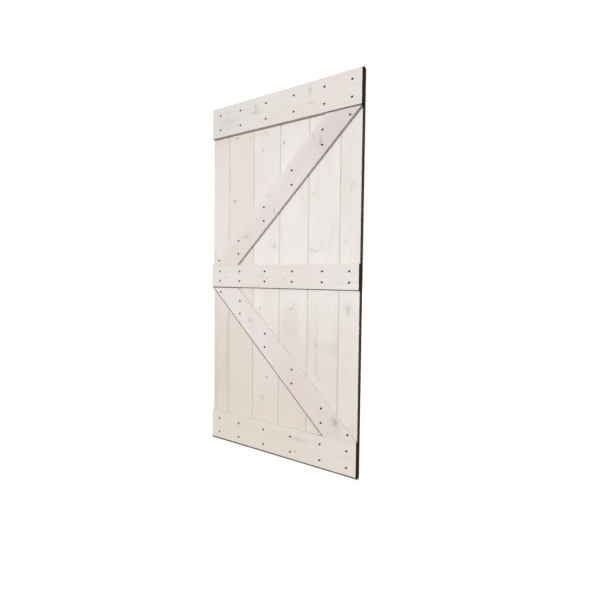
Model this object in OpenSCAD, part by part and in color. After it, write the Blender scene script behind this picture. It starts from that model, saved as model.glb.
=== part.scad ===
// Sliding barn door slab: tongue-and-groove planks behind a face-screwed frame of
// three rails and two diagonal braces that meet in a K.
// Millimetres. X runs across the door, +Y is its back, +Z is up.
// The origin is the middle of the bottom edge.

/* [Door] */
// Width of the door
door_w = 914.4; // [700:0.1:1250]
// Height of the door
door_h = 2133.6; // [1700:0.1:2600]

/* [Planks] */
// Thickness of the planks
plank_t = 19.05; // [15:0.05:25]
// Number of planks side by side
plank_count = 6; // [4:1:8]
// Face width of the first and the last plank, which are ripped to fit
end_plank_w = 114.3; // [80:0.1:150]
// Open joint between two planks, measured between their faces
seam_gap = 0.4; // [0.2:0.1:1]
// Bevel on each side of a seam, front and back
seam_bevel = 2.4; // [1:0.1:4]
// Thickness of the tongue
tongue_t = 6.4; // [4:0.1:8]
// How far the tongue stands out of the plank
tongue_l = 6; // [3:0.1:9]
// Clearance all round the tongue in its groove
tongue_fit = 0.2; // [0.1:0.05:0.5]

/* [Frame boards] */
// Thickness of the rails and braces
board_t = 19.05; // [15:0.05:25]
// Height of the top and bottom rails
rail_w = 184.15; // [120:0.05:230]
// Height of the middle rail
middle_rail_w = 139.7; // [90:0.1:200]
// Width of the diagonal braces, measured square across the board
brace_w = 139.7; // [90:0.1:180]
// Gap where a brace is butted against a rail
butt_gap = 0.3; // [0.1:0.1:2]
// Chamfer that eases the corners of the boards and the outer edges of the door
ease = 1.2; // [0.5:0.1:3]

/* [Screws] */
// Diameter of the flat head
head_d = 9.8; // [7:0.1:12]
// Height of the head's cylindrical rim
head_rim = 0.4; // [0.2:0.1:1]
// Included angle of the head's cone
head_angle = 82; // [78:1:100]
// How far the head is driven below the wood
head_sink = 0.3; // [0.1:0.1:1]
// Outer diameter of the thread
thread_d = 4.8; // [3.5:0.1:6]
// Length of the conical point
point_l = 5.5; // [4:0.1:9]
// How far the point reaches into the plank
screw_bite = 13; // [6:0.1:14]
// Clearance all round a screw in the wood
screw_fit = 0.1; // [0.05:0.05:0.3]
// Width of the cross recess at the top of the head
recess_w = 5.2; // [3.5:0.1:6]
// Thickness of each wing of the cross recess
recess_wing_t = 1.2; // [0.8:0.1:1.6]
// Depth of the cross recess
recess_depth = 2.4; // [1:0.1:3]

/* [Screw layout] */
// Distance of the screw rows from the edges of the top and bottom rails
rail_row_inset = 47; // [25:1:60]
// Distance of the screw rows from the edges of the middle rail
middle_row_inset = 40; // [25:1:45]
// Height between the two screws of a pair on a brace
brace_pair_pitch = 81; // [50:1:110]
// Distance of the single screw above or below a brace's cut end, left side
brace_end_inset_left = 31; // [25:1:50]
// Distance of the single screw above or below a brace's cut end, right side
brace_end_inset_right = 41; // [25:1:55]
// Sideways shift of the upper brace's screws from the middles of the planks
upper_brace_shift = -8; // [-15:1:15]
// Sideways shift of the lower brace's screws from the middles of the planks
lower_brace_shift = 4; // [-15:1:15]

/* [Hidden] */

// Lengths that a cut runs past the surface it opens
over = 1;
// Facets round a screw
round_fn = 48;

// Depths: the front of the rails, the plane where they meet the planks, and the back
front_y = -(plank_t + board_t) / 2;
joint_y = front_y + board_t;

// Planks: every plank between the first and the last has the same face width
left_x = -door_w / 2;
right_x = door_w / 2;
inner_plank_w = (door_w - 2 * end_plank_w) / (plank_count - 2);
function plank_left(i) = i == 0 ? left_x : left_x + end_plank_w + (i - 1) * inner_plank_w;
function plank_right(i) = i == plank_count - 1 ? right_x : plank_left(i + 1);
function plank_middle(i) = (plank_left(i) + plank_right(i)) / 2;

// Heights of the rails and of the two bays between them
middle_rail_z = (door_h - middle_rail_w) / 2;
middle_rail_top = middle_rail_z + middle_rail_w;
top_rail_z = door_h - rail_w;
bay_h = middle_rail_z - rail_w;
brace_rise = bay_h - 2 * butt_gap;

// Length of a brace's level end cut, so that the brace reaches from side to side of
// the door and is brace_w across: cut * rise = brace_w * length of its long edge
brace_w2 = brace_w * brace_w;
rise2 = brace_rise * brace_rise;
brace_cut = (sqrt(brace_w2 * (brace_w2 * door_w * door_w + (rise2 - brace_w2) * (rise2 + door_w * door_w)))
    - brace_w2 * door_w) / (rise2 - brace_w2);
brace_slope = brace_rise / (door_w - brace_cut);

// Outlines of the boards in the door's plane, as [x, z]
function rail_outline(z, w) = [[left_x, z], [right_x, z], [right_x, z + w], [left_x, z + w]];
upper_brace_z = middle_rail_top + butt_gap;
upper_brace_outline = [
    [left_x, upper_brace_z],
    [left_x + brace_cut, upper_brace_z],
    [right_x, upper_brace_z + brace_rise],
    [right_x - brace_cut, upper_brace_z + brace_rise]
];
lower_brace_z = rail_w + butt_gap;
lower_brace_outline = [
    [right_x - brace_cut, lower_brace_z],
    [right_x, lower_brace_z],
    [left_x + brace_cut, lower_brace_z + brace_rise],
    [left_x, lower_brace_z + brace_rise]
];

// Screw places, as [x, z]: two rows on a rail with one pair on every plank, and on a
// brace a pair on every plank but the outer two, which take one screw each
last_plank = plank_count - 1;
function rail_screws(z, w, inset) = [
    for (i = [0 : last_plank], row = [z + inset, z + w - inset]) [plank_middle(i), row]
];
// Height of a brace's centre line above its lower end, at a distance in from that end
function brace_middle(run) = (run - brace_cut / 2) * brace_slope;
function brace_column(i, shift) = plank_middle(i) + shift;
upper_brace_places = concat(
    [[brace_column(0, upper_brace_shift), upper_brace_z + brace_end_inset_left]],
    [for (i = [1 : last_plank - 1], side = [-0.5, 0.5])
        let (x = brace_column(i, upper_brace_shift))
        [x, upper_brace_z + brace_middle(x - left_x) + side * brace_pair_pitch]],
    [[brace_column(last_plank, upper_brace_shift), top_rail_z - butt_gap - brace_end_inset_right]]
);
lower_brace_places = concat(
    [[brace_column(0, lower_brace_shift), middle_rail_z - butt_gap - brace_end_inset_left]],
    [for (i = [1 : last_plank - 1], side = [-0.5, 0.5])
        let (x = brace_column(i, lower_brace_shift))
        [x, lower_brace_z + brace_middle(right_x - x) + side * brace_pair_pitch]],
    [[brace_column(last_plank, lower_brace_shift), lower_brace_z + brace_end_inset_right]]
);
top_rail_places = rail_screws(top_rail_z, rail_w, rail_row_inset);
middle_rail_places = rail_screws(middle_rail_z, middle_rail_w, middle_row_inset);
bottom_rail_places = rail_screws(0, rail_w, rail_row_inset);
all_places = concat(top_rail_places, middle_rail_places, bottom_rail_places,
    upper_brace_places, lower_brace_places);

// Screw: it lies along +Y from its head, whose top is at the origin
screw_l = board_t - head_sink + screw_bite;
// Angle by which each screw of a board is turned on from the one before it
turn_step = 37;
head_cone_h = (head_d - thread_d) / 2 / tan(head_angle / 2);

// Moves its children to each screw place, at the depth of the front face
module at_places(places) {
    for (p = places)
        translate([p[0], front_y, p[1]])
            children();
}

// Half section of a screw, grown by a clearance; a hole also opens out of the wood
module screw_section(fit, mouth) {
    head_r = head_d / 2 + fit;
    thread_r = thread_d / 2 + fit;
    polygon([
        [0, mouth],
        [head_r, mouth],
        [head_r, -head_rim],
        [thread_r, -head_rim - head_cone_h],
        [thread_r, -screw_l + point_l],
        [0, -screw_l - 2 * fit]
    ]);
}

module screw_body(fit, mouth) {
    translate([0, head_sink, 0])
        rotate([90, 0, 0])
            rotate_extrude($fn = round_fn)
                screw_section(fit, mouth);
}

// One tapered wing of the cross recess, cut down from the top of the head
module recess_wing() {
    foot_w = recess_w / 3;
    linear_extrude(recess_wing_t, center = true)
        polygon([
            [-recess_w / 2, -over], [recess_w / 2, -over],
            [recess_w / 2, 0], [foot_w / 2, recess_depth],
            [-foot_w / 2, recess_depth], [-recess_w / 2, 0]
        ]);
}

module screw(turn) {
    difference() {
        screw_body(0, 0);
        translate([0, head_sink, 0])
            rotate([0, turn, 0])
                for (wing = [0, 90])
                    rotate([0, wing, 0])
                        recess_wing();
    }
}

// Screws of one board, each driven home at its own angle
module screws(places) {
    color("#1c1a19")
        for (k = [0 : len(places) - 1])
            at_places([places[k]])
                screw(turn = k * turn_step % 90);
}

module screw_holes(places) {
    at_places(places)
        screw_body(screw_fit, head_sink + over);
}

// Section of a plank, from its front face at y = 0 to its back face at y = plank_t
module plank_section(i) {
    first = i == 0;
    last = i == last_plank;
    x0 = plank_left(i) + (first ? 0 : seam_gap / 2);
    x1 = plank_right(i) - (last ? 0 : seam_gap / 2);
    bevel0 = first ? ease : seam_bevel;
    bevel1 = last ? ease : seam_bevel;
    groove_t = tongue_t + 2 * tongue_fit;
    groove_l = tongue_l + tongue_fit;
    difference() {
        union() {
            polygon([
                [x0 + bevel0, 0], [x1 - bevel1, 0], [x1, bevel1], [x1, plank_t - bevel1],
                [x1 - bevel1, plank_t], [x0 + bevel0, plank_t], [x0, plank_t - bevel0], [x0, bevel0]
            ]);
            if (!last)
                translate([x1 - over, (plank_t - tongue_t) / 2])
                    square([tongue_l + seam_gap + over, tongue_t]);
        }
        if (!first)
            translate([x0 - over, (plank_t - groove_t) / 2])
                square([groove_l + over, groove_t]);
    }
}

// The planks alternate between the two tones of the whitewashed pine
module plank(i) {
    mine = [for (p = all_places) if (p[0] > plank_left(i) && p[0] < plank_right(i)) p];
    color(i % 2 == 0 ? "#e6dfd8" : "#e8e0d2")
        difference() {
            translate([0, joint_y, 0])
                linear_extrude(door_h)
                    plank_section(i);
            screw_holes(mine);
        }
}

// Chamfers one front edge of a board, from p to q
module ease_cut(p, q) {
    d = q - p;
    side = ease * sqrt(2);
    run_out = 5 * ease;
    translate([p[0], p[1], board_t])
        rotate([0, 0, atan2(d[1], d[0])])
            rotate([45, 0, 0])
                translate([-run_out, -side / 2, -side / 2])
                    cube([norm(d) + 2 * run_out, side, side]);
}

module board(outline, places, tone) {
    n = len(outline);
    color(tone)
        difference() {
            translate([0, joint_y, 0])
                rotate([90, 0, 0])
                    difference() {
                        linear_extrude(board_t)
                            polygon(outline);
                        for (k = [0 : n - 1])
                            ease_cut(outline[k], outline[(k + 1) % n]);
                    }
            screw_holes(places);
        }
}

module top_rail() {
    board(rail_outline(top_rail_z, rail_w), top_rail_places, "#e4e0dc");
}

module middle_rail() {
    board(rail_outline(middle_rail_z, middle_rail_w), middle_rail_places, "#e7deda");
}

module bottom_rail() {
    board(rail_outline(0, rail_w), bottom_rail_places, "#e3dace");
}

module upper_brace() {
    board(upper_brace_outline, upper_brace_places, "#e0d7d5");
}

module lower_brace() {
    board(lower_brace_outline, lower_brace_places, "#e2d8d2");
}

for (i = [0 : last_plank])
    plank(i);
top_rail();
middle_rail();
bottom_rail();
upper_brace();
lower_brace();
screws(top_rail_places);  // top_rail_screws
screws(middle_rail_places);  // middle_rail_screws
screws(bottom_rail_places);  // bottom_rail_screws
screws(upper_brace_places);  // upper_brace_screws
screws(lower_brace_places);  // lower_brace_screws
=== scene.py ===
import math
import random

import bmesh
import bpy
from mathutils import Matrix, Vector

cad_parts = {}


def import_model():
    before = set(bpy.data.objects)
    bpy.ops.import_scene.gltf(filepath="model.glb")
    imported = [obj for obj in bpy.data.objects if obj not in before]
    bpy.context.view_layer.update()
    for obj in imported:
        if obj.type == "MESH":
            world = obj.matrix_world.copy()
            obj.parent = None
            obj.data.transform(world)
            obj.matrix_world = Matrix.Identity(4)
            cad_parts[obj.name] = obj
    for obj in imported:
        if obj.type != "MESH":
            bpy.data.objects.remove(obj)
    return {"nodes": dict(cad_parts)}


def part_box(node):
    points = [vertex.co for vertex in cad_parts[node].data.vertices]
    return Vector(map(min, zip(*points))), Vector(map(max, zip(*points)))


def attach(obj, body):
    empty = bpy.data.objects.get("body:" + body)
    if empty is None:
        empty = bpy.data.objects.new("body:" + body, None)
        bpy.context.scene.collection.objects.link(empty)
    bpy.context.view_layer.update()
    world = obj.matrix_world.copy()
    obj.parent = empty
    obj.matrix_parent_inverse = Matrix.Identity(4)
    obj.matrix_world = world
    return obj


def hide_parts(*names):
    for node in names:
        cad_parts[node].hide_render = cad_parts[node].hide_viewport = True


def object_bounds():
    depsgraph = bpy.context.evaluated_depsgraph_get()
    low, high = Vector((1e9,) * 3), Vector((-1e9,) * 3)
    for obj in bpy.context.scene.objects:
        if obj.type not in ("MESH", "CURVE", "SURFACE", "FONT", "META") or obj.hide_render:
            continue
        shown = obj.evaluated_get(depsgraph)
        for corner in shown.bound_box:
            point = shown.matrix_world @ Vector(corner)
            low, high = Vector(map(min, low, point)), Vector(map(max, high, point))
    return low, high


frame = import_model()
cad_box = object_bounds()

INCH = 0.0254
MM = 0.001

# The door, from the frame: its front faces -Y and its foot is at z = 0
LOW, HIGH = cad_box
DOOR_W = HIGH.x - LOW.x
DOOR_T = HIGH.y - LOW.y
DOOR_H = HIGH.z - LOW.z
PLANKS = [f"plank_{i}" for i in range(1, 7)]

# Tones of the whitewash, as sRGB
SNOW = (236, 233, 229)
PEARL = (233, 228, 224)
MILK = (230, 225, 222)
CLOUD = (229, 223, 219)
MIST = (220, 219, 217)
CREAM = (230, 222, 212)
CHALK = (228, 222, 216)
LINEN = (226, 219, 210)
SAND = (223, 214, 203)
OAT = (220, 209, 197)
ROSE = (226, 217, 213)
BLUSH = (226, 211, 206)
LILAC = (230, 222, 221)
MAUVE = (219, 209, 208)
CLAY = (223, 210, 203)

# Drifts of the wash, grain and knots that show through it, and the seams' tone
PINK_DRIFT = (232, 212, 208)
SAGE_DRIFT = (221, 224, 214)
LATEWOOD = (203, 192, 180)
KNOT_HEART = (122, 109, 99)
KNOT_RIM = (116, 102, 90)
KNOT_GLOW = (204, 193, 182)
BLUE_STAIN = (158, 161, 170)
SEAM_TONE = (196, 187, 176)
# Painted light: paler tones for the boards' upper edges
RAIL_LEDGE_HIGHLIGHT = (234, 227, 219)
BRACE_LEDGE_HIGHLIGHT = (244, 240, 236)
# Painted shade on the planks just above the frame boards
CONTACT_SHADE_TONE = (187, 184, 182)

# Dark tones on the door's outer edges and round the screws, and painted shadow: dark lines along the
# boards' lower corners
EDGE_BROWN = (36, 29, 26)
EDGE_STREAK = (64, 56, 52)
EDGE_BLACK = (15, 12, 11)
SHADOW_LINE_TONE = (58, 51, 46)
SCREW_RING_TONE = (28, 24, 22)


# ---------------------------------------------------------------- shader nodes

def linear(rgb):
    """An sRGB colour of 0 to 255 as linear RGBA."""
    channels = []
    for value in rgb:
        share = value / 255
        channels.append(share / 12.92 if share <= 0.04045 else ((share + 0.055) / 1.055) ** 2.4)
    return (*channels, 1.0)


class Graph:
    """Builds one material's node tree. Most calls return the new node's output."""

    def __init__(self, name):
        self.material = bpy.data.materials.new(name)
        self.material.use_nodes = True
        self.tree = self.material.node_tree
        self.tree.nodes.clear()

    def node(self, kind, **settings):
        made = self.tree.nodes.new(kind)
        for key, value in settings.items():
            setattr(made, key, value)
        return made

    def feed(self, socket, value):
        """Links an output to the socket, or sets its value."""
        if isinstance(value, bpy.types.NodeSocket):
            self.tree.links.new(value, socket)
        else:
            socket.default_value = value

    def math(self, operation, a, b=0.0, c=0.0):
        made = self.node("ShaderNodeMath", operation=operation)
        for socket, value in zip(made.inputs, (a, b, c)):
            self.feed(socket, value)
        return made.outputs[0]

    def vector(self, operation, a, b=(0, 0, 0)):
        made = self.node("ShaderNodeVectorMath", operation=operation)
        self.feed(made.inputs[0], a)
        self.feed(made.inputs[1], b)
        return made.outputs["Value"] if operation in ("DOT_PRODUCT", "LENGTH") else made.outputs[0]

    def ramp(self, value, low, high, to_low=0.0, to_high=1.0):
        """Takes value smoothly from low..high to to_low..to_high, held at both ends."""
        made = self.node("ShaderNodeMapRange", interpolation_type="SMOOTHSTEP")
        for socket, number in zip(made.inputs, (value, low, high, to_low, to_high)):
            self.feed(socket, number)
        return made.outputs[0]

    def noise(self, place, detail=2.0, roughness=0.5):
        """Smooth noise, 0 to 1, whose lumps are one unit of place wide."""
        made = self.node("ShaderNodeTexNoise")
        self.feed(made.inputs["Vector"], place)
        made.inputs["Scale"].default_value = 1.0
        made.inputs["Detail"].default_value = detail
        made.inputs["Roughness"].default_value = roughness
        return made.outputs["Fac"]

    def mix(self, amount, a, b):
        made = self.node("ShaderNodeMix", data_type="RGBA")
        self.feed(made.inputs["Factor"], amount)
        self.feed(made.inputs[6], a)
        self.feed(made.inputs[7], b)
        return made.outputs[2]

    def tones(self, value, colours):
        """A smooth run of colours as value goes from 0 to 1."""
        made = self.node("ShaderNodeValToRGB")
        made.color_ramp.interpolation = "EASE"
        stops = made.color_ramp.elements
        while len(stops) < len(colours):
            stops.new(0.5)
        for i, colour in enumerate(colours):
            stops[i].position = i / (len(colours) - 1)
            stops[i].color = linear(colour)
        self.feed(made.inputs[0], value)
        return made.outputs[0]

    def finish(self, colour, roughness, height, bump_m, specular, glow=0.0):
        shader = self.node("ShaderNodeBsdfPrincipled")
        self.feed(shader.inputs["Base Color"], colour)
        self.feed(shader.inputs["Roughness"], roughness)
        shader.inputs["Specular IOR Level"].default_value = specular
        shader.inputs["Emission Color"].default_value = (1, 1, 1, 1)
        shader.inputs["Emission Strength"].default_value = glow
        bump = self.node("ShaderNodeBump")
        bump.inputs["Distance"].default_value = bump_m
        self.feed(bump.inputs["Height"], height)
        self.feed(shader.inputs["Normal"], bump.outputs[0])
        out = self.node("ShaderNodeOutputMaterial")
        self.feed(out.inputs[0], shader.outputs[0])
        return self.material


# ---------------------------------------------------------------- knots

# Knots, one row each: inches from the door's left edge and from its foot, length up the
# door and width across it in inches, and the kind
TIGHT = "tight"
RING = "ring"
PALE = "pale"
SMUDGE = "smudge"
BLUE = "blue"
HAZE = "haze"
BRUISE = "bruise"
FAINT = "faint"
STREAK = "streak"

KNOTS = {
    "plank_1": [
        (0.7, 14.0, 16.0, 0.35, HAZE),
        (4.0, 22.0, 30.0, 0.9, STREAK),
    ],
    "plank_2": [
        (6.8, 75.9, 0.5, 0.58, TIGHT),
        (10.3, 75.0, 0.5, 0.35, TIGHT),
        (6.0, 60.6, 0.7, 0.8, TIGHT),
        (10.9, 64.2, 0.4, 0.3, PALE),
        (11.0, 20.2, 0.5, 0.3, PALE),
        (7.8, 12.4, 1.0, 0.4, PALE),
        (7.2, 10.1, 0.7, 0.5, PALE),
    ],
    "plank_3": [
        (13.6, 71.7, 0.7, 0.8, SMUDGE),
        (16.8, 49.1, 1.1, 0.8, BLUE),
        (13.1, 34.3, 0.8, 0.6, SMUDGE),
        (15.0, 18.0, 0.55, 0.5, TIGHT),
        (13.9, 12.9, 0.75, 0.35, TIGHT),
    ],
    "plank_4": [
        (18.9, 72.5, 0.9, 0.5, TIGHT),
        (21.0, 34.6, 0.7, 0.7, SMUDGE),
        (21.6, 35.6, 1.2, 0.2, SMUDGE),
        (24.1, 35.9, 0.4, 0.4, SMUDGE),
        (22.6, 29.3, 1.3, 0.8, FAINT),
        (19.8, 8.5, 0.6, 0.35, SMUDGE),
    ],
    "plank_5": [
        (25.6, 60.1, 0.8, 0.7, PALE),
        (26.7, 54.7, 0.7, 0.7, PALE),
        (26.4, 47.6, 0.4, 0.33, TIGHT),
        (25.6, 47.9, 1.3, 1.2, PALE),
        (27.6, 48.6, 2.4, 1.6, FAINT),
        (26.6, 27.2, 0.9, 0.8, PALE),
        (29.9, 26.5, 1.7, 2.8, HAZE),
        (26.9, 22.0, 8.0, 0.7, STREAK),
        (26.9, 29.0, 20.0, 0.4, STREAK),
        (27.5, 19.6, 0.4, 0.3, SMUDGE),
    ],
    "plank_6": [
        (33.9, 60.9, 1.6, 1.0, RING),
        (33.6, 59.6, 0.4, 0.3, TIGHT),
        (32.9, 49.4, 1.2, 0.8, PALE),
        (33.4, 35.2, 1.6, 0.8, RING),
        (33.4, 35.4, 1.9, 1.0, HAZE),
        (34.6, 9.9, 1.4, 0.9, HAZE),
    ],
    "top_rail": [
        (12.0, 81.9, 2.1, 0.55, SMUDGE),
        (11.8, 80.7, 0.75, 2.0, SMUDGE),
        (3.3, 80.7, 0.5, 2.6, HAZE),
        (4.4, 79.8, 1.3, 3.0, HAZE),
        (4.3, 82.4, 0.7, 1.1, RING),
        (25.0, 82.2, 1.5, 0.8, SMUDGE),
        (25.1, 80.7, 0.3, 0.3, SMUDGE),
        (25.3, 79.6, 0.4, 1.6, SMUDGE),
        (34.8, 80.8, 0.4, 1.0, PALE),
    ],
    "middle_rail": [
        (4.2, 41.7, 0.4, 0.8, TIGHT),
        (13.7, 42.0, 0.7, 1.2, PALE),
        (15.1, 41.6, 0.7, 0.5, PALE),
        (19.5, 41.5, 0.6, 0.9, PALE),
    ],
    "bottom_rail": [
        (7.8, 4.8, 0.6, 0.65, SMUDGE),
        (10.9, 4.9, 0.7, 5.0, STREAK),
        (22.2, 5.2, 0.4, 0.35, PALE),
        (23.6, 5.1, 1.1, 3.6, PALE),
        (22.8, 5.1, 0.6, 8.0, STREAK),
        (22.6, 2.3, 0.6, 0.5, TIGHT),
        (33.0, 3.8, 0.4, 4.6, PALE),
        (34.2, 4.4, 0.4, 2.4, STREAK),
        (2.6, 3.0, 0.55, 0.35, SMUDGE),
    ],
    "upper_brace": [
        (26.0, 72.3, 1.1, 0.65, SMUDGE),
        (27.45, 70.9, 1.6, 0.9, SMUDGE),
        (27.4, 71.3, 1.2, 0.3, PALE),
        (22.2, 65.0, 0.6, 0.5, PALE),
        (15.6, 60.9, 0.7, 0.6, SMUDGE),
        (17.0, 57.4, 1.5, 0.65, SMUDGE),
        (17.3, 58.6, 0.5, 0.3, PALE),
        (9.8, 51.5, 1.0, 1.3, SMUDGE),
    ],
    "lower_brace": [
        (2.9, 37.9, 0.5, 0.9, PALE),
        (10.9, 31.3, 1.2, 1.05, SMUDGE),
        (16.9, 24.2, 0.5, 0.4, SMUDGE),
        (31.3, 11.1, 2.2, 1.4, BRUISE),
        (29.9, 8.3, 0.45, 0.5, TIGHT),
    ],
}

# How each kind of knot shows: its heart, its rim, the glow round it, its blue stain, and how
# far it pushes the growth rings aside
KNOT_LOOKS = {
    TIGHT: {"heart": 1.0, "rim": 0.42, "glow": 0.40, "blue": 0.0, "push": 7 * MM},
    RING: {"heart": 0.10, "rim": 0.27, "glow": 0.10, "blue": 0.0, "push": 8 * MM},
    PALE: {"heart": 0.17, "rim": 0.10, "glow": 0.14, "blue": 0.0, "push": 5 * MM},
    SMUDGE: {"heart": 0.50, "rim": 0.14, "glow": 0.26, "blue": 0.0, "push": 6 * MM},
    BLUE: {"heart": 0.16, "rim": 0.22, "glow": 0.06, "blue": 0.20, "push": 4 * MM},
    HAZE: {"heart": 0.04, "rim": 0.05, "glow": 0.0, "blue": 0.12, "push": 3 * MM},
    BRUISE: {"heart": 0.62, "rim": 0.16, "glow": 0.18, "blue": 0.16, "push": 9 * MM},
    FAINT: {"heart": 0.08, "rim": 0.12, "glow": 0.08, "blue": 0.0, "push": 9 * MM},
    STREAK: {"heart": 0.17, "rim": 0.0, "glow": 0.10, "blue": 0.0, "push": 0.0},
}


# ---------------------------------------------------------------- wood

# Noises in the wood: the length of a lump along the grain and its width across it, in
# metres, then its detail and, where it isn't 0.5, its roughness
FIBRES = (0.14, 0.0016, 3, 0.6)
STREAKS = (0.8, 0.012, 3, 0.6)
PATCHES = (0.35, 0.09, 3, 0.55)
BLOTS = (0.03, 0.02, 3, 0.6)
SPECKS = (0.006, 0.004, 2, 0.6)
PINK_LUMPS = (0.28, 0.07, 3, 0.6)
SAGE_LUMPS = (0.22, 0.06, 3, 0.6)
WANDER_LUMPS = (0.7, 0.3, 2)
RIPPLE_LUMPS = (0.09, 0.02, 3)
# The most that any drift of the wash covers, and how far patches shift the run of tones
DRIFT_MOST = 0.4
RUN_SHIFT = 0.08
# How far the wash is worn: in latewood, at least and at most, in streaks and along fibres
WORN_LATE_LEAST = 0.05
WORN_LATE_MOST = 0.21
WORN_STREAK = 0.11
WORN_FIBRE = 0.08

# The pith that the growth rings go round: how deep it lies behind the board's middle and how
# far to its side, in metres, its slope, and how far it wanders, in metres
PITH_DEPTH = (0.05, 0.09)
PITH_SIDE = (-0.03, 0.03)
PITH_TILT = (0.01, 0.03)
PITH_WANDER = 0.03
RING_PITCH_IN_MM = (3.2, 4.6)
RING_RIPPLE = 1.6 * MM
# The share of a ring's pitch at which latewood starts, is full, begins to end and ends
LATE_START = 0.3
LATE_FULL = 0.88
LATE_ENDING = 0.92
LATE_END = 1.0
FAINTEST_RING = 0.35

# A knot's shape, in its own radii from its middle
HEART_EDGE = 1.15
HEART_FULL = 0.2
GLOW_EDGE = 2.8
GLOW_FULL = 0.5
RIM_MIDDLE = 0.85
RIM_HALF = 0.22
RAGGED_BY_BLOTS = 0.3
RAGGED_BY_SPECKS = 0.2
# Ringlets in a knot, as radians of their wave to each of its radii: about two ringlets
RINGLET_WAVE = 13.0
RINGLET_LEAST = 0.7
MOTTLE_LEAST = 0.55
# The most that each layer of a knot covers
HEART_MOST = 0.88
RIM_MOST = 0.6
GLOW_SHARE = 0.5

# The boards' eased corners
EASED = 1.2 * MM
# How far the dark tone of the outer edges laps round onto the faces
EDGE_LAP_LEFT = 0.9 * MM
EDGE_LAP_RIGHT = 9.0 * MM
EDGE_LAP_END = 0.9 * MM
# The left lap's width turns into the right one's within this distance of the door's middle
LAP_TURN = 0.1
# How far streaks shift the outer edges' tones front to back, and how much fibres cover them
EDGE_STREAK_SHIFT = 4 * MM
EDGE_FIBRE_COVER = 0.35
# How far from a plank's seam its dull tone reaches, and how much it covers at least and most
SEAM_REACH = 6.0 * MM
SEAM_LEAST = 0.15
SEAM_MOST = 0.5
# The dark ring round a screw
SCREW_RING_R = 6.0 * MM
SCREW_RING_COVER = 0.95
# Half the width over which each dark edge, painted shadow line and screw ring ends
EDGE_SOFT = 0.3 * MM
LINE_SOFT = 0.6 * MM
SCREW_SOFT = 0.5 * MM
# How far behind the eased corner a painted shadow line fades out
FRONT_SOFT = 0.4 * MM
# How far the borders of the dark outer edges and of the painted shadow lines waver, and the size of the
# lumps that they waver by
WAVER = 0.5 * MM
WAVER_LUMP = 12 * MM

# Towards its upper edge a brace pales: over what width, how much and to which tone
BRACE_FADES = {
    "upper_brace": (50 * MM, 0.5, PEARL),
    "lower_brace": (60 * MM, 0.6, LINEN),
}
# Painted shadow: the dark line along a board's lower front corner, standing in for the shadow under it:
# its height towards the board's left and right ends, and its strength
LOWER_SHADOW_LINES = {
    "top_rail": (2.0 * MM, 2.0 * MM, 0.85),
    "middle_rail": (2.2 * MM, 2.2 * MM, 0.9),
    "upper_brace": (3.0 * MM, 3.0 * MM, 0.8),
    "lower_brace": (5.5 * MM, 5.5 * MM, 0.85),
    "bottom_rail": (9.0 * MM, 8.0 * MM, 0.9),
}
# How far from a board's middle its line has the height of its left or right end
LINE_ENDS = 0.3
# The same painted shadow line across the head of a brace, in line with the shaded underside of the rail
# above it
HEAD_SHADOW_LINES = {
    "upper_brace": (6.5 * MM, 0.8),
    "lower_brace": (5.0 * MM, 0.8),
}
# Painted light: a board's upper edge gets a paler tone, lifting it to the faces' brightness, from that far
# below the top of
# the edge: on the rails it takes in the eased corner, and on the braces it doesn't
RAIL_LEDGE_DEPTH = 1.2 * MM
BRACE_LEDGE_DEPTH = 0.3 * MM
# Painted shade: how far the planks are darkened above a board that lies on them, and how much at its edge
CONTACT_REACH = 34 * MM
CONTACT_SHADE = 0.2
CORNER_REACH = 18 * MM
CORNER_SHADE = 0.2
# Only a plank's front gets the painted shade: fully down to the first depth below its face at y = 0,
# and not at all below the second
PLANK_FRONT_FULL = 1 * MM
PLANK_FRONT_END = 2 * MM

# Surface: how far it is raised, the shares of that by latewood, fibres, knots and blots, then
# its roughness along the fibres and what knots and the dark outer edges add to that
RELIEF = 0.4 * MM
LATE_RISE = 0.25
FIBRE_RISE = 0.5
KNOT_RISE = 0.5
BLOT_RISE = 0.2
ROUGH_LEAST = 0.6
ROUGH_MOST = 0.75
ROUGH_KNOT = -0.15
ROUGH_DARK_EDGE = 0.15
WOOD_SPECULAR = 0.1


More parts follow.
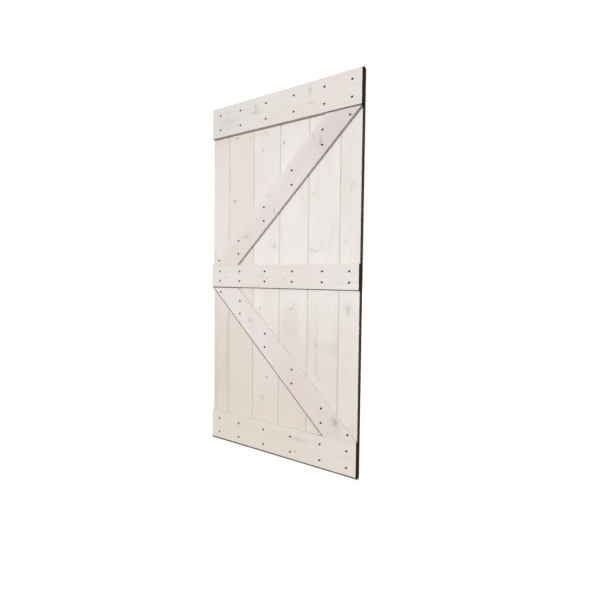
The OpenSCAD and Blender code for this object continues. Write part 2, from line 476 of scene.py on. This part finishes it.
class Timber(Graph):
    """The shader of one board: u runs along its grain, v across it and w into it."""

    def __init__(self, name, grain, centre, seed):
        super().__init__(name + "_wood")
        self.name = name
        self.grain = grain
        self.centre = centre
        self.across = Vector((-grain.z, 0, grain.x))
        self.draw = random.Random(seed)
        self.place = self.node("ShaderNodeTexCoord").outputs["Object"]
        split = self.node("ShaderNodeSeparateXYZ")
        self.feed(split.inputs[0], self.place)
        self.x, self.y, self.z = split.outputs[0:3]
        from_centre = self.vector("SUBTRACT", self.place, centre)
        self.u = self.vector("DOT_PRODUCT", from_centre, grain)
        self.v = self.vector("DOT_PRODUCT", from_centre, self.across)
        self.w = self.vector("DOT_PRODUCT", from_centre, (0, 1, 0))
        joined = self.node("ShaderNodeCombineXYZ")
        for socket, value in zip(joined.inputs, (self.u, self.v, self.w)):
            self.feed(socket, value)
        shift = [self.draw.uniform(-20, 20) for _ in range(3)]
        self.own = self.vector("ADD", joined.outputs[0], shift)
        self.fibre = self.lumps(*FIBRES)
        self.streak = self.lumps(*STREAKS)
        self.patch = self.lumps(*PATCHES)
        self.blot = self.lumps(*BLOTS)
        self.speck = self.lumps(*SPECKS)

    def lumps(self, along, sideways, detail, roughness=0.5):
        """Noise in this board's own place, with lumps of that length and width in metres."""
        place = self.vector("DIVIDE", self.own, (along, sideways, sideways))
        return self.noise(place, detail, roughness)

    def knots(self):
        """The knots' heart, rim, glow and blue stain, and their push on the rings in metres."""
        heart, rim, glow, blue, push = 0.0, 0.0, 0.0, 0.0, 0.0
        by_blots = self.ramp(self.blot, 0.25, 0.75, -RAGGED_BY_BLOTS, RAGGED_BY_BLOTS)
        by_specks = self.ramp(self.speck, 0.2, 0.8, -RAGGED_BY_SPECKS, RAGGED_BY_SPECKS)
        ragged = self.math("ADD", by_blots, by_specks)
        mottle = self.ramp(self.speck, 0.25, 0.75, MOTTLE_LEAST, 1.0)
        for x, z, length, width, kind in KNOTS[self.name]:
            look = KNOT_LOOKS[kind]
            spot = (LOW.x + x * INCH, 0, z * INCH)
            radii = (width * INCH / 2, DOOR_T, length * INCH / 2)
            offset = self.vector("DIVIDE", self.vector("SUBTRACT", self.place, spot), radii)
            away = self.math("ADD", self.vector("LENGTH", offset), ragged)
            inside = self.math("MULTIPLY", self.ramp(away, HEART_EDGE, HEART_FULL), mottle)
            wave = self.math("SINE", self.math("MULTIPLY", away, RINGLET_WAVE))
            ringlets = self.ramp(wave, -1, 1, RINGLET_LEAST, 1.0)
            around = self.ramp(away, GLOW_EDGE, GLOW_FULL)
            from_rim = self.math("ABSOLUTE", self.math("SUBTRACT", away, RIM_MIDDLE))
            band = self.ramp(from_rim, RIM_HALF, 0.0)
            heart = self.math("MULTIPLY_ADD", self.math("MULTIPLY", inside, ringlets), look["heart"], heart)
            rim = self.math("MULTIPLY_ADD", self.math("MULTIPLY", band, mottle), look["rim"], rim)
            glow = self.math("MULTIPLY_ADD", around, look["glow"], glow)
            push = self.math("MULTIPLY_ADD", around, look["push"], push)
            if look["blue"] > 0:
                blue = self.math("MULTIPLY_ADD", around, look["blue"], blue)
        return heart, rim, glow, blue, push

    def rings(self, push):
        """Latewood, 0 to 1: growth rings round a pith that lies behind the board and wanders."""
        pith_depth = self.draw.uniform(*PITH_DEPTH)
        pith_side = self.draw.uniform(*PITH_SIDE)
        pith_tilt = self.draw.choice((-1, 1)) * self.draw.uniform(*PITH_TILT)
        ring_pitch = self.draw.uniform(*RING_PITCH_IN_MM) * MM
        least, most = pith_side - PITH_WANDER, pith_side + PITH_WANDER
        wander = self.ramp(self.lumps(*WANDER_LUMPS), 0.2, 0.8, least, most)
        ripple = self.ramp(self.lumps(*RIPPLE_LUMPS), 0.2, 0.8, -RING_RIPPLE, RING_RIPPLE)
        side = self.math("ADD", self.v, wander)
        depth = self.math("ADD", self.math("MULTIPLY_ADD", self.u, pith_tilt, self.w), -pith_depth)
        square = self.math("MULTIPLY_ADD", side, side, self.math("MULTIPLY", depth, depth))
        radius = self.math("ADD", self.math("SQRT", square), self.math("ADD", push, ripple))
        years = self.math("DIVIDE", radius, ring_pitch)
        phase = self.math("FRACT", years)
        growing = self.ramp(phase, LATE_START, LATE_FULL)
        late = self.math("MULTIPLY", growing, self.ramp(phase, LATE_END, LATE_ENDING))
        year = self.node("ShaderNodeTexWhiteNoise", noise_dimensions="1D")
        self.feed(year.inputs["W"], self.math("FLOOR", years))
        return self.math("MULTIPLY", late, self.ramp(year.outputs["Value"], 0, 1, FAINTEST_RING, 1.0))

    def wash(self, tones, late):
        """The whitewash, in tones that run along the board, with the grain showing through it."""
        half = DOOR_H / 2 if self.grain.z > 0.99 else DOOR_W / 2
        run = self.ramp(self.patch, 0.2, 0.8, -RUN_SHIFT, RUN_SHIFT)
        run = self.math("ADD", self.math("MULTIPLY_ADD", self.u, 0.5 / half, 0.5), run)
        colour = self.tones(run, tones)
        pink = self.ramp(self.lumps(*PINK_LUMPS), 0.45, 0.75, 0, DRIFT_MOST)
        colour = self.mix(pink, colour, linear(PINK_DRIFT))
        sage = self.ramp(self.lumps(*SAGE_LUMPS), 0.5, 0.78, 0, DRIFT_MOST)
        colour = self.mix(sage, colour, linear(SAGE_DRIFT))
        in_late = self.ramp(self.patch, 0.3, 0.7, WORN_LATE_LEAST, WORN_LATE_MOST)
        worn = self.math("MULTIPLY", late, in_late)
        worn = self.math("ADD", worn, self.ramp(self.streak, 0.45, 0.85, 0.0, WORN_STREAK))
        worn = self.math("ADD", worn, self.ramp(self.fibre, 0.5, 0.9, 0.0, WORN_FIBRE))
        return self.mix(worn, colour, linear(LATEWOOD))

    def dark_screw_ring(self, colour, places):
        """A dark ring in the wood round each screw."""
        flat = self.vector("MULTIPLY", self.place, (1, 0, 1))
        nearest = 1.0
        for x, z in places:
            away = self.vector("LENGTH", self.vector("SUBTRACT", flat, (x, 0, z)))
            nearest = self.math("MINIMUM", nearest, away)
        outer, inner = SCREW_RING_R + SCREW_SOFT, SCREW_RING_R - SCREW_SOFT
        ring = self.ramp(nearest, outer, inner, 0.0, SCREW_RING_COVER)
        return self.mix(ring, colour, linear(SCREW_RING_TONE))

    def painted_contact_shade(self, colour):
        """Painted shade: planks are a little darker just above each board of the frame."""
        nearest = 1.0
        for name in (*RAIL_TONES, *BRACE_TONES):
            centre, grain, half_width = board_run(name)
            across = Vector((-grain.z, 0, grain.x))
            up = self.vector("DOT_PRODUCT", self.vector("SUBTRACT", self.place, centre), across)
            above = self.math("ABSOLUTE", self.math("SUBTRACT", up, half_width))
            nearest = self.math("MINIMUM", nearest, above)
        dull = self.ramp(nearest, CONTACT_REACH, 0.0, 0.0, CONTACT_SHADE)
        dull = self.math("ADD", dull, self.ramp(nearest, CORNER_REACH, 0.0, 0.0, CORNER_SHADE))
        return self.mix(dull, colour, linear(CONTACT_SHADE_TONE))

    def painted_shadow_line(self, colour, away, height, strength):
        """A painted shadow: a dark line along a front corner. away is how far each point lies from the
        corner.
        """
        line = self.ramp(self.math("SUBTRACT", away, height), LINE_SOFT, -LINE_SOFT, 0.0, strength)
        front = self.ramp(self.y, LOW.y + EASED + FRONT_SOFT, LOW.y + EASED)
        return self.mix(self.math("MULTIPLY", line, front), colour, linear(SHADOW_LINE_TONE))

    def dark_outer_edges(self, colour, uneven):
        """A dark tone on the door's four outer edges, and how much of it covers each point."""
        side = self.math("SUBTRACT", DOOR_W / 2, self.math("ABSOLUTE", self.x))
        lap = self.ramp(self.x, -LAP_TURN, LAP_TURN, EDGE_LAP_LEFT, EDGE_LAP_RIGHT)
        side = self.math("SUBTRACT", side, lap)
        end = self.math("MINIMUM", self.z, self.math("SUBTRACT", DOOR_H, self.z))
        end = self.math("SUBTRACT", end, EDGE_LAP_END)
        near = self.math("ADD", self.math("MINIMUM", side, end), uneven)
        darkened = self.ramp(near, EDGE_SOFT, -EDGE_SOFT)
        depth = self.math("MULTIPLY_ADD", self.streak, EDGE_STREAK_SHIFT, self.y)
        through = self.ramp(depth, LOW.y, HIGH.y)
        edge_tone = self.tones(through, (EDGE_BROWN, EDGE_BROWN, EDGE_STREAK, EDGE_BLACK))
        worn = self.ramp(self.fibre, 0.4, 0.8, 0, EDGE_FIBRE_COVER)
        edge_tone = self.mix(worn, edge_tone, linear(EDGE_STREAK))
        return self.mix(darkened, colour, edge_tone), darkened


def wood(name, grain, centre, tones, seams=(), half_width=0.0, seed=0):
    """Whitewashed knotty pine. seams are the v of a plank's seams."""
    timber = Timber(name, grain, centre, seed)
    heart, rim, glow, blue, push = timber.knots()
    late = timber.rings(push)
    colour = timber.wash(tones, late)
    if name in BRACE_FADES:
        reach, strength, tone = BRACE_FADES[name]
        fade = timber.ramp(timber.v, half_width - reach, half_width, 0.0, strength)
        colour = timber.mix(fade, colour, linear(tone))
    colour = timber.mix(timber.math("MULTIPLY", glow, GLOW_SHARE), colour, linear(KNOT_GLOW))
    colour = timber.mix(blue, colour, linear(BLUE_STAIN))
    colour = timber.mix(timber.math("MINIMUM", heart, HEART_MOST), colour, linear(KNOT_HEART))
    colour = timber.mix(timber.math("MINIMUM", rim, RIM_MOST), colour, linear(KNOT_RIM))
    for seam in seams:
        gap = timber.math("ABSOLUTE", timber.math("SUBTRACT", timber.v, seam))
        dull = timber.ramp(timber.patch, 0.3, 0.7, SEAM_LEAST, SEAM_MOST)
        colour = timber.mix(timber.ramp(gap, SEAM_REACH, 0.0, 0.0, dull), colour, linear(SEAM_TONE))
    # Painted shade on the planks' fronts just above the frame boards
    if seams:
        front = timber.ramp(timber.y, PLANK_FRONT_END, PLANK_FRONT_FULL)
        colour = timber.mix(front, colour, timber.painted_contact_shade(colour))
    uneven = timber.noise(timber.vector("DIVIDE", timber.place, (WAVER_LUMP,) * 3), 3)
    uneven = timber.ramp(uneven, 0.3, 0.7, -WAVER, WAVER)
    if half_width > 0:
        is_brace = name in BRACE_TONES
        depth = BRACE_LEDGE_DEPTH if is_brace else RAIL_LEDGE_DEPTH
        tone = BRACE_LEDGE_HIGHLIGHT if is_brace else RAIL_LEDGE_HIGHLIGHT
        # Painted light: a paler tone on the board's upper edge, lifting it to the faces' brightness
        ledge_highlight = timber.ramp(timber.v, half_width - depth, half_width - depth / 3)
        colour = timber.mix(ledge_highlight, colour, linear(tone))
        colour = timber.dark_screw_ring(colour, screw_places(name + "_screws"))
    # Painted shadow: a dark line along the board's lower front corner
    if name in LOWER_SHADOW_LINES:
        left, right, strength = LOWER_SHADOW_LINES[name]
        above = timber.math("ADD", timber.math("ADD", timber.v, half_width), uneven)
        line_height = timber.ramp(timber.u, -LINE_ENDS, LINE_ENDS, left, right)
        colour = timber.painted_shadow_line(colour, above, line_height, strength)
    # Painted shadow: a dark line across the brace's head, under the rail above it
    if name in HEAD_SHADOW_LINES:
        below = timber.math("ADD", timber.math("SUBTRACT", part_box(name)[1].z, timber.z), uneven)
        colour = timber.painted_shadow_line(colour, below, *HEAD_SHADOW_LINES[name])
    colour, darkened = timber.dark_outer_edges(colour, uneven)

    # Surface: raised latewood, fibres, and knots that stand a little proud
    height = timber.math("MULTIPLY", late, LATE_RISE)
    height = timber.math("MULTIPLY_ADD", timber.fibre, FIBRE_RISE, height)
    height = timber.math("MULTIPLY_ADD", heart, KNOT_RISE, height)
    height = timber.math("MULTIPLY_ADD", timber.blot, BLOT_RISE, height)
    roughness = timber.ramp(timber.fibre, 0.2, 0.8, ROUGH_LEAST, ROUGH_MOST)
    roughness = timber.math("MULTIPLY_ADD", heart, ROUGH_KNOT, roughness)
    roughness = timber.math("MULTIPLY_ADD", darkened, ROUGH_DARK_EDGE, roughness)
    return timber.finish(colour, roughness, height, RELIEF, WOOD_SPECULAR)


# ---------------------------------------------------------------- boards

def dress(name, material):
    """Gives a CAD node one material."""
    mesh = frame["nodes"][name].data
    mesh.materials.clear()
    mesh.materials.append(material)


def plank_edges(index):
    """The x of a plank's two face edges, leaving its tongue out."""
    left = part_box(PLANKS[index])[0].x
    if index + 1 < len(PLANKS):
        return left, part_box(PLANKS[index + 1])[0].x
    return left, HIGH.x


def brace_grain(name):
    """The unit vector along a brace, from its left end to its right end."""
    low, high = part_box(name)
    corners = frame["nodes"][name].data.vertices
    foot = [v.co.x for v in corners if v.co.z < low.z + 0.1 * MM]
    cut = max(foot) - min(foot)
    rise = high.z - low.z
    if min(foot) > (low.x + high.x) / 2:
        rise = -rise
    return Vector((high.x - low.x - cut, 0, rise)).normalized()


def board_run(name):
    """A frame board's centre, its grain direction and half its width."""
    low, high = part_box(name)
    centre = (low + high) / 2
    grain = brace_grain(name) if name in BRACE_TONES else Vector((1, 0, 0))
    across = Vector((-grain.z, 0, grain.x))
    corners = frame["nodes"][name].data.vertices
    return centre, grain, max((v.co - centre).dot(across) for v in corners)


def screw_places(node):
    """The x and z of each screw in a CAD group, from its point, which lies deepest."""
    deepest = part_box(node)[1].y
    corners = frame["nodes"][node].data.vertices
    points = [v.co for v in corners if v.co.y > deepest - 0.01 * MM]
    return sorted({(round(co.x, 5), round(co.z, 5)) for co in points})


# From a plank's foot to its head, and from the left end of a rail or brace to its right end
PLANK_TONES = {
    "plank_1": (OAT, OAT, MILK, MILK, BLUSH),
    "plank_2": (OAT, SAND, CREAM, CREAM, CREAM),
    "plank_3": (OAT, LINEN, SNOW, PEARL, CLOUD),
    "plank_4": (OAT, SAND, SNOW, SNOW, PEARL),
    "plank_5": (OAT, LINEN, SNOW, SNOW, PEARL),
    "plank_6": (SAND, CHALK, SNOW, PEARL, PEARL),
}
RAIL_TONES = {
    "top_rail": (MIST, CLOUD, CLOUD),
    "middle_rail": (CLOUD, CLOUD, PEARL),
    "bottom_rail": (SAND, SAND, LINEN),
}
BRACE_TONES = {
    "upper_brace": (ROSE, LILAC, MAUVE),
    "lower_brace": (MILK, LILAC, CLAY, CLAY),
}


def dress_planks():
    for index, (name, tones) in enumerate(PLANK_TONES.items()):
        left, right = plank_edges(index)
        low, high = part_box(name)
        centre = Vector(((left + right) / 2, (low.y + high.y) / 2, (low.z + high.z) / 2))
        seams = []
        if index > 0:
            seams.append((right - left) / 2)
        if index + 1 < len(PLANKS):
            seams.append((left - right) / 2)
        dress(name, wood(name, Vector((0, 0, 1)), centre, tones, seams=seams, seed=11 + index))


def dress_frame():
    for index, (name, tones) in enumerate({**RAIL_TONES, **BRACE_TONES}.items()):
        centre, grain, half_width = board_run(name)
        dress(name, wood(name, grain, centre, tones, half_width=half_width, seed=31 + index))


dress_planks()
dress_frame()


# ---------------------------------------------------------------- screws

# A No. 10 flat-head wood screw with a cross recess
HEAD_R = 4.9 * MM
HEAD_RIM = 0.4 * MM
HEAD_EASE = 0.15 * MM
HEAD_HALF_ANGLE = math.radians(41)
SHANK_R = 1.95 * MM
ROOT_R = 1.6 * MM
CREST_R = 2.38 * MM
THREAD_START = 11 * MM
THREAD_PITCH = 1.95 * MM
THREAD_RUN_IN = 2 * MM
THREAD_WIDTH = 0.3
POINT_L = 5.5 * MM
RECESS_DEPTH = 2.3 * MM
WING_REACH = 2.6 * MM
WING_HALF = 0.6 * MM
WING_LIP = 0.12 * MM
RECESS_FOOT_REACH = WING_REACH / 3
RECESS_FOOT_HALF = WING_HALF * 0.7
RINGS_PER_TURN = 6
# Angles from a wing's middle at which each quarter of a ring has its points
WING_CORNER = math.atan2(WING_HALF, WING_REACH)
QUARTER = [math.radians(a) for a in (-45, -30, -20)] + [-WING_CORNER, 0, WING_CORNER]
QUARTER += [math.radians(a) for a in (20, 30)]
ANGLES = [turn * math.pi / 2 + offset for turn in range(4) for offset in QUARTER]
# Edges that bend by less than this many degrees are shaded smooth
SMOOTH_BELOW = 35
STEEL_DARK = (12, 11, 11)
STEEL_LIGHT = (24, 22, 21)
STEEL_LUMP = 2 * MM
STEEL_ROUGHNESS = (0.42, 0.6)
STEEL_RELIEF = 0.05 * MM
STEEL_SPECULAR = 0.25


def circle(radius):
    return [radius] * len(ANGLES)


def cross(reach, half):
    """The outline of a cross whose wings reach that far and are twice half thick."""
    corner = math.atan2(half, reach)
    quarter = [reach / math.cos(a) if abs(a) <= corner else half / math.sin(abs(a)) for a in QUARTER]
    return quarter * 4


def thread(depth, length):
    """The radii of a right-hand thread at a depth below the top of the head."""
    grown = min(1, (depth - THREAD_START) / THREAD_RUN_IN)
    taper = min(1, (length - depth) / POINT_L)
    core = SHANK_R + (ROOT_R - SHANK_R) * grown
    radii = []
    for angle in ANGLES:
        phase = (depth / THREAD_PITCH + angle / math.tau) % 1
        crest = max(0, 1 - abs(phase - 0.5) / THREAD_WIDTH)
        radii.append(taper * (core + (CREST_R - core) * crest * grown))
    return radii


def screw_rings(length):
    """A screw as rings of (depth, radii), from the foot of its recess almost to its point."""
    neck = HEAD_RIM + (HEAD_R - SHANK_R) / math.tan(HEAD_HALF_ANGLE)
    rings = [
        (RECESS_DEPTH, cross(RECESS_FOOT_REACH, RECESS_FOOT_HALF)),
        (WING_LIP, cross(WING_REACH, WING_HALF)),
        (0, cross(WING_REACH + WING_LIP, WING_HALF + WING_LIP)),
        (0, circle(HEAD_R - HEAD_EASE)),
        (HEAD_EASE, circle(HEAD_R)),
        (HEAD_RIM, circle(HEAD_R)),
        (neck, circle(SHANK_R)),
        (THREAD_START, circle(SHANK_R)),
    ]
    step = THREAD_PITCH / RINGS_PER_TURN
    depth = THREAD_START + step
    while depth < length - step:
        rings.append((depth, thread(depth, length)))
        depth += step
    return rings


def add_screw(shape, head, length, turn):
    """Adds one screw to a bmesh: its head's top is at head, and it points along +Y."""
    def point(depth, radius, angle):
        return shape.verts.new(head + Vector((radius * math.cos(angle), depth, radius * math.sin(angle))))

    loops = []
    for depth, radii in screw_rings(length):
        loops.append([point(depth, radius, angle + turn) for radius, angle in zip(radii, ANGLES)])
    for upper, lower in zip(loops, loops[1:]):
        for k in range(len(ANGLES)):
            after = (k + 1) % len(ANGLES)
            shape.faces.new((upper[k], upper[after], lower[after], lower[k]))
    for loop, depth in ((loops[0], RECESS_DEPTH), (loops[-1], length)):
        tip = point(depth, 0, 0)
        for k in range(len(ANGLES)):
            shape.faces.new((loop[k], loop[(k + 1) % len(ANGLES)], tip))


def black_steel():
    graph = Graph("black_steel")
    place = graph.node("ShaderNodeTexCoord").outputs["Object"]
    cloud = graph.noise(graph.vector("DIVIDE", place, (STEEL_LUMP,) * 3), 3)
    colour = graph.mix(cloud, linear(STEEL_DARK), linear(STEEL_LIGHT))
    roughness = graph.ramp(cloud, 0.3, 0.7, *STEEL_ROUGHNESS)
    return graph.finish(colour, roughness, cloud, STEEL_RELIEF, STEEL_SPECULAR)


def drive_screws(node, steel, draw):
    """Screws with a true thread and recess, in the place of one board's CAD screws."""
    low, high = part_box(node)
    shape = bmesh.new()
    for x, z in screw_places(node):
        add_screw(shape, Vector((x, low.y, z)), high.y - low.y, draw.uniform(0, math.pi / 2))
    bmesh.ops.recalc_face_normals(shape, faces=shape.faces)
    mesh = bpy.data.meshes.new(node)
    shape.to_mesh(mesh)
    shape.free()
    mesh.shade_smooth()
    mesh.set_sharp_from_angle(angle=math.radians(SMOOTH_BELOW))
    mesh.materials.append(steel)
    made = bpy.data.objects.new(node.replace("_screws", "_wood_screws"), mesh)
    bpy.context.scene.collection.objects.link(made)
    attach(made, "root")
    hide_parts(node)


def drive_all_screws():
    steel = black_steel()
    draw = random.Random(5)
    for node in sorted(n for n in frame["nodes"] if n.endswith("_screws")):
        dress(node, steel)
        drive_screws(node, steel, draw)


drive_all_screws()


# ---------------------------------------------------------------- studio

SUN_DISTANCE = 5
# The height of a direction, up to which the even light turns from its lower to its upper value
HORIZON_BLEND = 0.3
FLOOR_SIZE = 60
FLOOR_GREY = (243, 243, 243)
FLOOR_WHITE = (246, 246, 246)
FLOOR_LUMP = 0.4
FLOOR_GLOW = 0.4
FLOOR_GAP = 0.1 * MM


def sun(name, azimuth, elevation, strength, width_deg):
    """Soft parallel light that comes from azimuth (0 is the front, 90 the right) and elevation."""
    data = bpy.data.lights.new(name, "SUN")
    data.energy = strength
    data.angle = math.radians(width_deg)
    lamp = bpy.data.objects.new(name, data)
    a, e = math.radians(azimuth), math.radians(elevation)
    towards = Vector((math.sin(a) * math.cos(e), -math.cos(a) * math.cos(e), math.sin(e)))
    lamp.rotation_euler = towards.to_track_quat("Z", "Y").to_euler()
    lamp.location = towards * SUN_DISTANCE
    bpy.context.scene.collection.objects.link(lamp)


sun("key_light", azimuth=4, elevation=14, strength=2.26, width_deg=5)
sun("back_light", azimuth=200, elevation=25, strength=2.3, width_deg=15)


def world(above, below):
    """White to the camera. Everything else gets even light, stronger from above."""
    made = bpy.data.worlds.new("studio")
    made.use_nodes = True
    tree = made.node_tree
    tree.nodes.clear()
    direction = tree.nodes.new("ShaderNodeTexCoord")
    split = tree.nodes.new("ShaderNodeSeparateXYZ")
    height = tree.nodes.new("ShaderNodeMapRange")
    height.interpolation_type = "SMOOTHSTEP"
    for socket, value in zip(height.inputs[1:5], (-HORIZON_BLEND, HORIZON_BLEND, below, above)):
        socket.default_value = value
    path = tree.nodes.new("ShaderNodeLightPath")
    seen = tree.nodes.new("ShaderNodeBackground")
    light = tree.nodes.new("ShaderNodeBackground")
    both = tree.nodes.new("ShaderNodeMixShader")
    out = tree.nodes.new("ShaderNodeOutputWorld")
    for background in (seen, light):
        background.inputs["Color"].default_value = (1, 1, 1, 1)
    tree.links.new(direction.outputs["Generated"], split.inputs[0])
    tree.links.new(split.outputs["Z"], height.inputs[0])
    tree.links.new(height.outputs[0], light.inputs["Strength"])
    tree.links.new(path.outputs["Is Camera Ray"], both.inputs[0])
    tree.links.new(light.outputs[0], both.inputs[1])
    tree.links.new(seen.outputs[0], both.inputs[2])
    tree.links.new(both.outputs[0], out.inputs[0])
    bpy.context.scene.world = made


world(above=0.5, below=0.15)


def floor(size):
    """A plain pale floor at the door's foot."""
    mesh = bpy.data.meshes.new("floor")
    half = size / 2
    corners = [(-half, -half, 0), (half, -half, 0), (half, half, 0), (-half, half, 0)]
    mesh.from_pydata(corners, [], [(0, 1, 2, 3)])
    made = bpy.data.objects.new("floor", mesh)
    bpy.context.scene.collection.objects.link(made)
    graph = Graph("floor_white")
    place = graph.node("ShaderNodeTexCoord").outputs["Object"]
    cloud = graph.noise(graph.vector("DIVIDE", place, (FLOOR_LUMP,) * 3), 2)
    colour = graph.mix(cloud, linear(FLOOR_GREY), linear(FLOOR_WHITE))
    mesh.materials.append(graph.finish(colour, 0.9, cloud, 0.1 * MM, 0.1, glow=FLOOR_GLOW))
    made.location.z = LOW.z - FLOOR_GAP
    made.visible_diffuse = False


floor(FLOOR_SIZE)


# ---------------------------------------------------------------- camera

CAMERA_LENS = 24.31
CAMERA_SHIFT_X = 0.2
CAMERA_SHIFT_Y = -0.02
CAMERA_PLACE = (1.024, -2.236, 1.092)
CAMERA_YAW = 38.37
CAMERA_PITCH = -2.23


def camera():
    data = bpy.data.cameras.new("camera")
    data.lens = CAMERA_LENS
    data.sensor_width = 36.0
    data.shift_x = CAMERA_SHIFT_X
    data.shift_y = CAMERA_SHIFT_Y
    data.clip_end = 200
    made = bpy.data.objects.new("camera", data)
    made.location = CAMERA_PLACE
    made.rotation_euler = (math.radians(90 + CAMERA_PITCH), 0, math.radians(CAMERA_YAW))
    bpy.context.scene.collection.objects.link(made)
    bpy.context.scene.camera = made


camera()
bpy.context.scene.view_settings.view_transform = "Standard"
